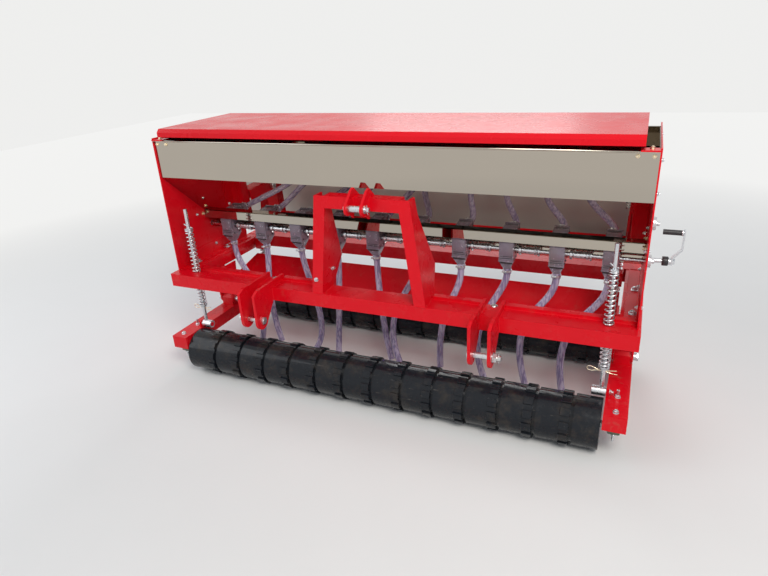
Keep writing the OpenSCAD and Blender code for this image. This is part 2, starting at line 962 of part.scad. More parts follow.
module seed_tube(i) {
    color(clear, 0.6)
    place()
    swept(tube_path(i), hose_r - 1, 8);
}

front_beam();
rear_beam();
side_rails();
beam_strip();
side_plates();
plate_angles();
mast();
top_link_clevis();
lower_lugs();
hitch_pins();
hopper();
hopper_ends();
hopper_bar();
hopper_brackets();
lid();
lid_hinges();
seed_cups();
meter_shaft();
agitator();
shaft_bearings();
crank();
crank_grip();
drive_guard();
seed_shield();
pivot_legs();
rocker_arms();
pivot_bolts();
bearing_blocks();
front_roller();
front_axle();
rear_roller();
rear_axle();
spring_rods();
springs();
rod_brackets();
seed_tube(0);  // seed_tube_1
seed_tube(1);  // seed_tube_2
seed_tube(2);  // seed_tube_3
seed_tube(3);  // seed_tube_4
seed_tube(4);  // seed_tube_5
seed_tube(5);  // seed_tube_6
seed_tube(6);  // seed_tube_7
seed_tube(7);  // seed_tube_8
seed_tube(8);  // seed_tube_9
seed_tube(9);  // seed_tube_10
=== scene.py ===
import json
import math

import bmesh
import bpy
from mathutils import Matrix, Vector


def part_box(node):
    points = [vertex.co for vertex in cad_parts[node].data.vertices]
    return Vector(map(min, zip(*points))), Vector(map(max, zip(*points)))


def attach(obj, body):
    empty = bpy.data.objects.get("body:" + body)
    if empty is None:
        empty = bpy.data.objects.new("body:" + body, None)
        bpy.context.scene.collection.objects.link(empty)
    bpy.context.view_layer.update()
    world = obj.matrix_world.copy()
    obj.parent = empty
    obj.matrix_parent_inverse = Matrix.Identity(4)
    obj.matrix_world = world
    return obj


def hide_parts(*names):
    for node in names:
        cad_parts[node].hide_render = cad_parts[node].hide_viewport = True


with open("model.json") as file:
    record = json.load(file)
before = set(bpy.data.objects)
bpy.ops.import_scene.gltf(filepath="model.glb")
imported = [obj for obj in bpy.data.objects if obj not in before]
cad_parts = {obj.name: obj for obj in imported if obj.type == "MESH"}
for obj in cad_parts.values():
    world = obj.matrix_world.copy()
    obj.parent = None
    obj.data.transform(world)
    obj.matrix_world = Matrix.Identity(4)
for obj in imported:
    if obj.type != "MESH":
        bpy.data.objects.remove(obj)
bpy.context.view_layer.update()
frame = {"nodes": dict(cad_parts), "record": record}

bl_info = {
    "name": "Seed Drill",
    "version": (1, 0, 0),
    "blender": (4, 5, 0),
    "location": "View3D > Sidebar > Seed Drill",
    "description": "Finishes and small parts of a seed drill on two packer rollers",
    "category": "Object",
}

# Machine millimetres: x from the middle of the beams, y from the front face of the front
# beam, z from the ground.
BEAM_LOW, BEAM_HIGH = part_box("front_beam")
ORIGIN = Vector(((BEAM_LOW.x + BEAM_HIGH.x) / 2, BEAM_LOW.y, 0.0))
HALF_W = round((BEAM_HIGH.x - BEAM_LOW.x) * 500, 2)
BEAM_TOP = BEAM_HIGH.z * 1000
FRAME_Z = BEAM_LOW.z * 1000
ARM_IN = HALF_W - 87
ARM_MID = ARM_IN + 40
ROD_X = ARM_IN - 18
PLATE_OUT = HALF_W - 9
PLATE_IN = PLATE_OUT - 5
METER_Y, METER_Z = 325.0, 629.0
SPOUT_Z = 530.0
STIR_Z = 773.0
CUPS = [(i - 4.5) * 195.0 for i in range(10)]
ROD_YS = (58.0, 582.0)
ROLLER_Y = {"front": 8.0, "rear": 632.0}
AXLE_Z = 102.0
ARM_TOP = 195.0
PIVOT_Y, PIVOT_Z = 320.0, 227.0
BACKDROP = (0.86, 0.86, 0.85, 1.0)
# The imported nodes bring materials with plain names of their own.
PREFIX = "drill_"
X, Y, Z = Vector((1, 0, 0)), Vector((0, 1, 0)), Vector((0, 0, 1))
SIDES = (-1, 1)
# In millimetres: a washer's thickness, a hexagon's chamfer and the length of a weld's ripple.
WASHER, CHAMFER, RIPPLE = 1.8, 0.8, 6.0
WIRE_SIDES = 8
# The sockets of a Mix node that mixes colours.
MIX_FACTOR, MIX_FIRST, MIX_SECOND, MIX_RESULT = 0, 6, 7, 2


def at(x, y, z):
    """A machine point in millimetres, in the frame's metres."""
    return ORIGIN + Vector((x, y, z)) / 1000


def mm(value):
    """Millimetres in metres."""
    return value / 1000


# Shapes


def facing(point, direction, turn=0.0):
    """A matrix whose z axis looks along direction from a machine point."""
    rotation = Vector(direction).to_track_quat("Z", "Y").to_matrix().to_4x4()
    return Matrix.Translation(at(*point)) @ rotation @ Matrix.Rotation(turn, 4, "Z")


def lifted(place, height):
    """The plane of place, moved along its own z axis by millimetres."""
    return place @ Matrix.Translation((0, 0, mm(height)))


def soften(part, edges, width, segments=2):
    """Bevels edges by a width in millimetres."""
    bmesh.ops.bevel(part, geom=edges, offset=mm(width), offset_type="OFFSET",
                    segments=segments, profile=0.5, affect="EDGES", material=-1)


def pushed_corners(bm, faces):
    """Extrudes faces and returns the new corners, which haven't moved yet."""
    pushed = bmesh.ops.extrude_face_region(bm, geom=faces)
    return [g for g in pushed["geom"] if isinstance(g, bmesh.types.BMVert)]


def add(bm, part, place=None):
    """Adds a finished part to the bmesh of a piece, and frees the part."""
    if place:
        bmesh.ops.transform(part, matrix=place, verts=part.verts)
    mesh = bpy.data.meshes.new("part")
    part.to_mesh(mesh)
    part.free()
    bm.from_mesh(mesh)
    bpy.data.meshes.remove(mesh)


def lathe(bm, profile, place, steps):
    """Turns a profile of (radius, height) millimetres about the z axis of place."""
    part = bmesh.new()
    verts = [part.verts.new((mm(r), 0, mm(h))) for r, h in profile]
    edges = [part.edges.new(pair) for pair in zip(verts, verts[1:])]
    bmesh.ops.spin(part, geom=verts + edges, cent=(0, 0, 0), axis=(0, 0, 1), angle=math.tau,
                   steps=steps, use_merge=True, use_duplicate=False)
    bmesh.ops.remove_doubles(part, verts=part.verts, dist=1e-7)
    bmesh.ops.recalc_face_normals(part, faces=part.faces)
    add(bm, part, place)


def rod(bm, start, end, radius, steps, bevel):
    """A round bar between two machine points, bevelled at its ends."""
    span = Vector(end) - Vector(start)
    lathe(bm, [(0, 0), (radius - bevel, 0), (radius, bevel), (radius, span.length - bevel),
               (radius - bevel, span.length), (0, span.length)], facing(start, span), steps)


def hexagon(bm, place, across, height):
    """A chamfered hexagon head or nut that stands on the plane of place."""
    part = bmesh.new()
    bmesh.ops.create_circle(part, cap_ends=True, segments=6, radius=mm(across / math.sqrt(3)))
    tops = pushed_corners(part, list(part.faces))
    bmesh.ops.translate(part, vec=(0, 0, mm(height)), verts=tops)
    rim = [e for e in part.edges if e.verts[0] in tops and e.verts[1] in tops]
    soften(part, rim, CHAMFER, segments=1)
    bmesh.ops.recalc_face_normals(part, faces=part.faces)
    add(bm, part, place)


def bolt(bm, point, direction, size, turn=0.0, washer=True, stub=3.0):
    """A hexagon bolt head, with a washer below it and the end of its thread above."""
    place = facing(point, direction, turn)
    base = 0.0
    if washer:
        base = WASHER
        lathe(bm, [(0, -0.2), (size, -0.2), (size * 1.05, 0.4), (size, base), (0, base)],
              place, 24)
    hexagon(bm, lifted(place, base), size * 1.6, size * 0.62)
    if stub:
        thread = size * 0.48
        lathe(bm, [(0, 0), (thread, 0), (thread, stub - 0.6), (size * 0.38, stub), (0, stub)],
              lifted(place, base + size * 0.6), 12)


def rivet(bm, point, direction, radius):
    """A low domed rivet head."""
    rise = radius * 0.55
    dome = [(radius * math.sin(a), rise * math.cos(a)) for a in
            (math.radians(d) for d in (90, 70, 50, 30, 12))]
    lathe(bm, [(0, -0.3), (radius, -0.3), *dome, (0, rise)], facing(point, direction), 16)


def slab(bm, low, high, bevel):
    """A box between two machine points, with rounded edges."""
    low, high = Vector(low), Vector(high)
    place = Matrix.Translation(at(*((low + high) / 2))) @ Matrix.Diagonal(
        (*((high - low) / 1000), 1))
    part = bmesh.new()
    bmesh.ops.create_cube(part, size=1.0, matrix=place)
    soften(part, list(part.edges), bevel)
    add(bm, part)


def outline_plate(bm, points, x, thickness, bevel):
    """A plate across the width: its (y, z) outline at x, pushed along +x."""
    part = bmesh.new()
    part.faces.new([part.verts.new(at(x, y, z)) for y, z in points])
    bmesh.ops.translate(part, vec=(mm(thickness), 0, 0),
                        verts=pushed_corners(part, list(part.faces)))
    bmesh.ops.recalc_face_normals(part, faces=part.faces)
    soften(part, list(part.edges), bevel)
    add(bm, part)


def wire(bm, points, radius):
    """A round wire along a line of machine points."""
    points = [Vector(p) for p in points]
    here = facing(points[0], points[1] - points[0])
    part = bmesh.new()
    bmesh.ops.create_circle(part, segments=WIRE_SIDES, radius=mm(radius), cap_ends=True,
                            matrix=here)
    part.faces.ensure_lookup_table()
    face = part.faces[0]
    for k in range(1, len(points)):
        ahead = points[min(k + 1, len(points) - 1)] - points[k - 1]
        turn = (here.to_3x3() @ Z).rotation_difference(ahead).to_matrix().to_4x4()
        there = Matrix.Translation(at(*points[k])) @ turn @ Matrix.Translation(
            -here.translation) @ here
        pushed = bmesh.ops.extrude_face_region(part, geom=[face])
        face = next(g for g in pushed["geom"] if isinstance(g, bmesh.types.BMFace))
        bmesh.ops.transform(part, matrix=there @ here.inverted(), verts=face.verts)
        here = there
    bmesh.ops.recalc_face_normals(part, faces=part.faces)
    add(bm, part)


def weld(bm, start, end, radius):
    """A rippled weld bead between two machine points."""
    span = Vector(end) - Vector(start)
    ripples = max(3, round(span.length / RIPPLE))
    step = span.length / ripples
    profile = [(0, 0)]
    for k in range(ripples):
        profile += [(radius * 0.8, (k + 0.1) * step), (radius, (k + 0.55) * step)]
    profile += [(radius * 0.7, span.length - 0.3), (0, span.length)]
    lathe(bm, profile, facing(start, span), 8)


def band(bm, place, inner, outer, width):
    """A flat ring about the z axis of place, from its plane up, bevelled outside."""
    edge = 0.4
    lathe(bm, [(inner, 0), (outer - edge, 0), (outer, edge), (outer, width - edge),
               (outer - edge, width), (inner, width), (inner, 0)], place, 28)


def finish_piece(name, bm, material, body="frame", smooth=35.0, replaces=()):
    """Turns a bmesh into a named piece that rides on a body."""
    mesh = bpy.data.meshes.new(name)
    bm.to_mesh(mesh)
    bm.free()
    if not mesh.polygons:
        raise RuntimeError(f"{name} has no faces")
    mesh.materials.append(bpy.data.materials[PREFIX + material])
    mesh.shade_smooth()
    mesh.set_sharp_from_angle(angle=math.radians(smooth))
    piece = bpy.data.objects.new(name, mesh)
    bpy.context.scene.collection.objects.link(piece)
    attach(piece, body)
    if replaces:
        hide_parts(*replaces)
    return piece


# Finishes


class Finish:
    """A procedural material under construction."""

    def __init__(self, name, colour, metallic=0.0, roughness=0.4, **sockets):
        self.material = bpy.data.materials.new(PREFIX + name)
        self.material.use_nodes = True
        self.tree = self.material.node_tree
        self.shader = self.tree.nodes["Principled BSDF"]
        self.colour = (*colour, 1.0)
        self.shader.inputs["Base Color"].default_value = self.colour
        self.shader.inputs["Metallic"].default_value = metallic
        self.shader.inputs["Roughness"].default_value = roughness
        for key, value in sockets.items():
            self.shader.inputs[key.replace("_", " ")].default_value = value
        self.coords = self.node("ShaderNodeTexCoord").outputs["Object"]
        self.last_colour = None
        self.last_bump = None

    def node(self, kind, **settings):
        made = self.tree.nodes.new(kind)
        for key, value in settings.items():
            setattr(made, key, value)
        return made

    def link(self, source, target):
        self.tree.links.new(source, target)

    def stretched(self, scale):
        mapping = self.node("ShaderNodeMapping")
        self.link(self.coords, mapping.inputs["Vector"])
        mapping.inputs["Scale"].default_value = scale
        return mapping.outputs["Vector"]

    def noise(self, scale, detail=3.0, rough=0.55, stretch=None):
        made = self.node("ShaderNodeTexNoise")
        self.link(self.stretched(stretch) if stretch else self.coords, made.inputs["Vector"])
        made.inputs["Scale"].default_value = scale
        made.inputs["Detail"].default_value = detail
        made.inputs["Roughness"].default_value = rough
        return made.outputs["Fac"]

    def ramp(self, value, low, high, low_to=0.0, high_to=1.0):
        made = self.node("ShaderNodeMapRange")
        self.link(value, made.inputs["Value"])
        for key, number in (("From Min", low), ("From Max", high), ("To Min", low_to),
                            ("To Max", high_to)):
            made.inputs[key].default_value = number
        return made.outputs["Result"]

    def times(self, a, b):
        made = self.node("ShaderNodeMath", operation="MULTIPLY")
        self.link(a, made.inputs[0])
        self.link(b, made.inputs[1])
        return made.outputs["Value"]

    def tint(self, factor, colour):
        """Lays a second colour over the first where factor is 1."""
        mix = self.node("ShaderNodeMix", data_type="RGBA")
        self.link(factor, mix.inputs[MIX_FACTOR])
        if self.last_colour is None:
            mix.inputs[MIX_FIRST].default_value = self.colour
        else:
            self.link(self.last_colour, mix.inputs[MIX_FIRST])
        mix.inputs[MIX_SECOND].default_value = (*colour, 1.0)
        self.last_colour = mix.outputs[MIX_RESULT]
        self.link(self.last_colour, self.shader.inputs["Base Color"])

    def roughen(self, value):
        self.link(value, self.shader.inputs["Roughness"])

    def bump(self, height, strength, distance):
        made = self.node("ShaderNodeBump")
        made.inputs["Strength"].default_value = strength
        made.inputs["Distance"].default_value = distance
        self.link(height, made.inputs["Height"])
        if self.last_bump is not None:
            self.link(self.last_bump, made.inputs["Normal"])
        self.last_bump = made.outputs["Normal"]
        self.link(self.last_bump, self.shader.inputs["Normal"])

    def low_down(self, top, bottom):
        """1 at the bottom height and below, 0 at the top height and above, in metres."""
        split = self.node("ShaderNodeSeparateXYZ")
        self.link(self.coords, split.inputs[0])
        return self.ramp(split.outputs["Z"], bottom, top, 1.0, 0.0)


def red_paint(settings):
    f = Finish("red_paint", settings.red, roughness=0.26, Specular_IOR_Level=0.16,
               Coat_Weight=0.1, Coat_Roughness=0.07)
    f.tint(f.ramp(f.noise(2.2, 4.0), 0.35, 0.75, 0.0, 0.35), (0.50, 0.002, 0.008))
    dust = f.times(f.ramp(f.noise(26.0, 6.0, 0.7), 0.56, 0.8, 0.0, 0.5), f.low_down(0.75, 0.12))
    f.tint(dust, (0.34, 0.17, 0.12))
    f.roughen(f.ramp(f.noise(9.0, 4.0), 0.3, 0.7, 0.2, 0.36))
    f.bump(f.noise(420.0, 2.0), 0.035, 0.001)
    f.bump(f.noise(14.0, 2.0), 0.05, 0.004)


def zinc_plate(settings):
    f = Finish("zinc_plate", settings.zinc, metallic=1.0, roughness=0.3)
    f.tint(f.ramp(f.noise(60.0, 4.0), 0.4, 0.7, 0.0, 0.45), (0.5, 0.53, 0.56))
    f.tint(f.ramp(f.noise(18.0, 3.0), 0.58, 0.8, 0.0, 0.3), (0.62, 0.56, 0.4))
    f.roughen(f.ramp(f.noise(90.0, 3.0), 0.3, 0.7, 0.2, 0.38))
    f.bump(f.noise(700.0, 2.0), 0.05, 0.0006)


def brass_zinc(settings):
    f = Finish("brass_zinc", (0.82, 0.71, 0.50), metallic=1.0, roughness=0.28)
    f.tint(f.ramp(f.noise(80.0, 4.0), 0.4, 0.7, 0.0, 0.5), (0.70, 0.68, 0.62))
    f.roughen(f.ramp(f.noise(120.0, 3.0), 0.3, 0.7, 0.2, 0.4))
    f.bump(f.noise(700.0, 2.0), 0.05, 0.0006)


def stainless(settings):
    # Its base colour carries a painted reflection of brown surroundings, warmer and darker than
    # bare steel.
    f = Finish("stainless", settings.stainless, metallic=1.0, roughness=0.04)
    f.tint(f.ramp(f.noise(1.6, 5.0), 0.45, 0.8, 0.0, 0.25), (0.36, 0.34, 0.31))
    f.roughen(f.ramp(f.noise(5.0, 6.0, 0.65, (1.0, 1.0, 0.25)), 0.55, 0.8, 0.02, 0.07))
    f.bump(f.noise(3.0, 1.0, 0.4, (0.6, 1.4, 1.4)), 0.05, 0.004)
    f.bump(f.noise(260.0, 2.0, 0.5, (0.02, 1.0, 1.0)), 0.006, 0.0005)


def black_paint(settings):
    f = Finish("black_paint", settings.black, roughness=0.16, Specular_IOR_Level=0.14,
               Coat_Weight=0.18, Coat_Roughness=0.03)
    f.tint(f.ramp(f.noise(14.0, 7.0, 0.72), 0.5, 0.72, 0.0, 0.6), (0.06, 0.046, 0.034))
    f.tint(f.ramp(f.noise(140.0, 3.0, 0.6, (0.15, 1.0, 1.0)), 0.68, 0.74, 0.0, 0.5),
           (0.16, 0.14, 0.12))
    f.tint(f.ramp(f.noise(230.0, 2.0), 0.72, 0.78, 0.0, 0.6), (0.25, 0.21, 0.17))
    f.roughen(f.ramp(f.noise(18.0, 6.0, 0.7), 0.42, 0.7, 0.1, 0.5))
    f.bump(f.noise(300.0, 3.0), 0.03, 0.001)


def axle_steel(settings):
    f = Finish("axle_steel", (0.42, 0.42, 0.43), metallic=1.0, roughness=0.35)
    f.tint(f.ramp(f.noise(40.0, 5.0), 0.5, 0.75, 0.0, 0.5), (0.22, 0.13, 0.08))
    f.bump(f.noise(500.0, 2.0, 0.5, (8.0, 1.0, 1.0)), 0.06, 0.0006)


def bearing_housing(settings):
    f = Finish("bearing_housing", (0.11, 0.135, 0.085), roughness=0.42)
    f.tint(f.ramp(f.noise(30.0, 6.0, 0.7), 0.5, 0.78, 0.0, 0.6), (0.23, 0.19, 0.14))
    f.roughen(f.ramp(f.noise(40.0, 4.0), 0.3, 0.7, 0.34, 0.6))
    f.bump(f.noise(160.0, 4.0), 0.25, 0.0012)


def black_plastic(settings):
    f = Finish("black_plastic", (0.02, 0.02, 0.023), roughness=0.42)
    f.tint(f.ramp(f.noise(50.0, 5.0), 0.55, 0.8, 0.0, 0.35), (0.07, 0.065, 0.06))
    f.bump(f.noise(900.0, 2.0), 0.08, 0.0005)


def clear_plastic(settings):
    f = Finish("clear_plastic", settings.cup, roughness=0.16, IOR=1.46, Transmission_Weight=0.5)
    f.tint(f.ramp(f.noise(24.0, 4.0), 0.4, 0.75, 0.0, 0.5), (0.32, 0.27, 0.31))
    f.tint(f.ramp(f.noise(9.0, 3.0), 0.55, 0.75, 0.0, 0.4), (0.42, 0.33, 0.26))
    f.roughen(f.ramp(f.noise(60.0, 4.0), 0.35, 0.7, 0.1, 0.32))
    f.bump(f.noise(220.0, 2.0), 0.04, 0.0008)


def clear_hose(settings):
    f = Finish("clear_hose", settings.hose, roughness=0.14, IOR=1.45, Transmission_Weight=0.5)
    f.tint(f.ramp(f.noise(150.0, 2.0, 0.5, (1.0, 1.0, 0.03)), 0.46, 0.56, 0.0, 0.85),
           (0.36, 0.29, 0.50))
    f.tint(f.ramp(f.noise(20.0, 4.0), 0.55, 0.8, 0.0, 0.3), (0.5, 0.44, 0.42))
    f.roughen(f.ramp(f.noise(80.0, 3.0), 0.35, 0.7, 0.08, 0.26))
    f.bump(f.noise(150.0, 2.0, 0.5, (1.0, 1.0, 0.03)), 0.3, 0.0015)


FINISHES = [red_paint, zinc_plate, brass_zinc, stainless, black_paint, axle_steel, bearing_housing,
            black_plastic, clear_plastic, clear_hose]


def colour_setting(name, words, default):
    return bpy.props.FloatVectorProperty(name=name, description=words, subtype="COLOR",
                                         size=3, min=0.0, max=1.0, default=default)


class DrillColours(bpy.types.PropertyGroup):
    red: colour_setting("Red paint", "Colour of the painted frame", (0.72, 0.003, 0.012))
    zinc: colour_setting("Zinc plate", "Colour of bolts, pins and springs", (0.66, 0.68, 0.71))
    # The stainless colour is warmer and darker than bare steel: a painted reflection of brown
    # surroundings.
    stainless: colour_setting("Stainless", "Colour of the hopper", (0.45, 0.405, 0.345))
    black: colour_setting("Black paint", "Colour of the rollers", (0.011, 0.013, 0.017))
    cup: colour_setting("Seed cups", "Colour of the clear cups", (0.46, 0.41, 0.50))
    hose: colour_setting("Seed tubes", "Colour of the clear tubes", (0.80, 0.71, 0.90))


class DrillSizes(bpy.types.PropertyGroup):
    wire: bpy.props.FloatProperty(name="Spring wire", description="Radius of the spring wire",
                                  default=0.003, min=0.001, max=0.005, subtype="DISTANCE",
                                  unit="LENGTH")
    ring_teeth: bpy.props.IntProperty(name="Ring teeth", description="Teeth on each roller ring",
                                      default=12, min=6, max=24)
    lamp: bpy.props.FloatProperty(name="Key light", description="Power of the key light",
                                  default=105.0, min=0.0, max=2000.0)
    lens: bpy.props.FloatProperty(name="Lens", description="Focal length of the camera",
                                  default=27.25, min=10.0, max=200.0, subtype="DISTANCE_CAMERA")


# Operators


class DRILL_OT_finishes(bpy.types.Operator):
    """Makes the procedural finishes and gives each CAD node its own"""
    bl_idname = "drill.finishes"
    bl_label = "Finishes"

    def execute(self, context):
        for recipe in FINISHES:
            recipe(context.scene.drill_colours)
        for entry in frame["record"]["subparts"]:
            node = frame["nodes"][entry["node"]]
            node.data.materials.clear()
            node.data.materials.append(bpy.data.materials[PREFIX + entry["material_slot"]])
        return {"FINISHED"}


class DRILL_OT_seed_tubes(bpy.types.Operator):
    """Makes the ten clear hoses that hang from the seed cups"""
    bl_idname = "drill.seed_tubes"
    bl_label = "Seed tubes"

    # How far straight down first, the bend's shift and its y and z, the end's shift, y and z.
    routes = [(160, 239, 245, 394, 173, 215, 76), (120, 15, 245, 276, 94, 215, 84),
              (120, 181, 245, 200, 93, 215, 79), (120, 9, 250, 180, 19, 215, 76),
              (120, 43, 262, 180, 88, 235, 76), (120, -166, 235, 337, -50, 195, 91),
              (160, -85, 250, 410, -62, 215, 95), (120, -173, 250, 330, -63, 215, 76),
              (160, -190, 245, 415, -83, 215, 76), (160, -204, 245, 415, -130, 215, 76)]
    spans = 24
    radius, wall = 14.0, 2.5

    def execute(self, context):
        for i, (cup, row) in enumerate(zip(CUPS, self.routes)):
            points = self.route(cup, row)
            piece = finish_piece(f"hose_{i + 1}", self.hose(points), "clear_hose",
                                 smooth=50.0,
                                 replaces=(f"seed_tube_{i + 1}",))
        return {"FINISHED"}

    def route(self, cup, row):
        """Points along the middle of one tube, from its cup to its open end."""
        hang, bend, bend_y, bend_z, end, end_y, end_z = row
        corners = [Vector(p) for p in ((cup, METER_Y, SPOUT_Z), (cup, METER_Y, SPOUT_Z - hang),
                                       (cup + bend, bend_y, bend_z), (cup + end, end_y, end_z))]
        points = []
        for k in range(self.spans + 1):
            t = k / self.spans
            shares = ((1 - t) ** 3, 3 * t * (1 - t) ** 2, 3 * t * t * (1 - t), t ** 3)
            points.append(at(*sum((c * s for c, s in zip(corners, shares)), Vector())))
        return points

    def hose(self, points):
        """A hollow hose along a line of points."""
        curve = bpy.data.curves.new("hose_line", "CURVE")
        curve.dimensions = "3D"
        spline = curve.splines.new("POLY")
        spline.points.add(len(points) - 1)
        for knot, point in zip(spline.points, points):
            knot.co = (*point, 1.0)
        curve.bevel_depth = mm(self.radius)
        curve.bevel_resolution = 6
        line = bpy.data.objects.new("hose_line", curve)
        bpy.context.scene.collection.objects.link(line)
        shell = bpy.data.meshes.new_from_object(
            line.evaluated_get(bpy.context.evaluated_depsgraph_get()))
        bpy.data.objects.remove(line)
        bpy.data.curves.remove(curve)
        bm = bmesh.new()
        bm.from_mesh(shell)
        bpy.data.meshes.remove(shell)
        bmesh.ops.remove_doubles(bm, verts=bm.verts, dist=1e-6)
        bmesh.ops.recalc_face_normals(bm, faces=bm.faces)
        bmesh.ops.solidify(bm, geom=bm.faces, thickness=mm(self.wall))
        return bm


class DRILL_OT_rollers(bpy.types.Operator):
    """Makes the two packer rollers with their notched rings and grooves"""
    bl_idname = "drill.rollers"
    bl_label = "Packer rollers"

    # Half the length, then radii.
    half, bore, end_r, drum, ring, groove = 912.0, 12.6, 88.0, 95.0, 102.0, 86.0
    # The right side of the first ring, from one ring to the next, and the widths.
    rings, first, pitch, ring_w, groove_w = 13, 148.0, 131.0, 35.0, 12.0
    # Each ring is turned from its neighbour. A gap between teeth is five steps wide.
    steps, twist, half_gap, edge = 144, 10.0, 2.5, 1.4

    def execute(self, context):
        for which, y in ROLLER_Y.items():
            self.roller(which, y, context.scene.drill_sizes.ring_teeth)
        return {"FINISHED"}

    def roller(self, which, y, teeth):
        bm = bmesh.new()
        rights = [-self.half + self.first + i * self.pitch for i in range(self.rings)]
        profile = [(self.bore, -self.half), (self.end_r, -self.half),
                   (self.drum - 1, -self.half), (self.drum, -self.half + 1)]
        for right in rights:
            profile += [(self.drum, right - self.ring_w), (self.drum, right),
                        (self.groove, right), (self.groove, right + self.groove_w),
                        (self.drum, right + self.groove_w)]
        profile += [(self.drum, self.half - 1), (self.drum - 1, self.half),
                    (self.end_r, self.half), (self.bore, self.half)]
        verts = [bm.verts.new((mm(x), 0, -mm(r))) for r, x in profile]
        edges = [bm.edges.new(pair) for pair in zip(verts, verts[1:])]
        step = math.tau / self.steps
        bmesh.ops.rotate(bm, verts=verts, cent=(0, 0, 0),
                         matrix=Matrix.Rotation(-step / 2, 3, "X"))
        bmesh.ops.spin(bm, geom=verts + edges, cent=(0, 0, 0), axis=(1, 0, 0),
                       angle=math.tau, steps=self.steps, use_merge=True, use_duplicate=False)
        bmesh.ops.remove_doubles(bm, verts=bm.verts, dist=1e-7)
        bmesh.ops.recalc_face_normals(bm, faces=bm.faces)
        self.raise_teeth(bm, rights, teeth, step)
        bmesh.ops.transform(bm, matrix=Matrix.Translation(at(0, y, AXLE_Z)), verts=bm.verts)
        finish_piece(f"{which}_packer", bm, "black_paint", body=f"{which}_roller",
                     smooth=30.0, replaces=(f"{which}_roller",))

    def raise_teeth(self, bm, rights, teeth, step):
        """Pushes the teeth of each ring out of the drum and softens their edges."""
        share = math.tau / teeth
        picked = []
        for i, right in enumerate(rights):
            for face in bm.faces:
                middle = face.calc_center_median()
                if not right - self.ring_w < middle.x * 1000 < right:
                    continue
                if math.hypot(middle.y, middle.z) < mm(self.drum) * 0.99:
                    continue
                angle = math.atan2(middle.y, -middle.z) - math.radians(self.twist * i)
                off = (angle + share / 2) % share - share / 2
                if abs(off) > self.half_gap * step:
                    picked.append(face)
        tops = pushed_corners(bm, picked)
        grow = self.ring / self.drum
        bmesh.ops.scale(bm, vec=(1, grow, grow), verts=tops)
        bmesh.ops.delete(bm, geom=[f for f in picked if f.is_valid], context="FACES_ONLY")
        bmesh.ops.recalc_face_normals(bm, faces=bm.faces)
        top_set = set(tops)
        sharp = 1.0
        rims = [e for e in bm.edges if e.verts[0] in top_set and e.verts[1] in top_set
                and len(e.link_faces) == 2
                and e.link_faces[0].normal.angle(e.link_faces[1].normal, 0.0) > sharp]
        soften(bm, rims, self.edge, segments=1)


class DRILL_OT_springs(bpy.types.Operator):
    """Makes the eight coil springs on the spring rods"""
    bl_idname = "drill.springs"
    bl_label = "Springs"

    # The coil's radius, steps in a turn, and the gap between two closed turns.
    coil, around, gap = 16.0, 20, 0.4
    # Foot, height and turns of the upper and the lower spring.
    pair = ((BEAM_TOP, 205, 12), (FRAME_Z - 105, 105, 7))

    def execute(self, context):
        wire_r = context.scene.drill_sizes.wire * 1000
        bm = bmesh.new()
        for side in SIDES:
            for y in ROD_YS:
                for foot, height, turns in self.pair:
                    self.spring(bm, (side * ROD_X, y, foot + wire_r), height - 2 * wire_r, turns,
                                wire_r)
        finish_piece("coil_springs", bm, "zinc_plate", smooth=60.0, replaces=("springs",))
        return {"FINISHED"}

    def spring(self, bm, foot, height, turns, wire_r):
        """One spring: a closed turn at each end and open turns between."""
        shut = 2 * wire_r + self.gap
        rise = (height - 2 * shut) / (turns - 2)
        part = bmesh.new()
        bmesh.ops.create_circle(part, segments=WIRE_SIDES, radius=mm(wire_r), cap_ends=True)
        bmesh.ops.rotate(part, verts=part.verts, cent=(0, 0, 0),
                         matrix=Matrix.Rotation(math.pi / 2, 3, "X"))
        bmesh.ops.translate(part, vec=(mm(self.coil), 0, 0), verts=part.verts)
        geom = list(part.faces)
        for count, lift in ((1, shut), (turns - 2, rise), (1, shut)):
            swept = bmesh.ops.spin(part, geom=geom, cent=(0, 0, 0), axis=(0, 0, 1),
                                   dvec=(0, 0, mm(lift / self.around)), angle=math.tau * count,
                                   steps=self.around * count, use_merge=False,
                                   use_duplicate=False)
            geom = [g for g in swept["geom_last"] if isinstance(g, bmesh.types.BMFace)]
        bmesh.ops.recalc_face_normals(part, faces=part.faces)
        add(bm, part, Matrix.Translation(at(*foot)))


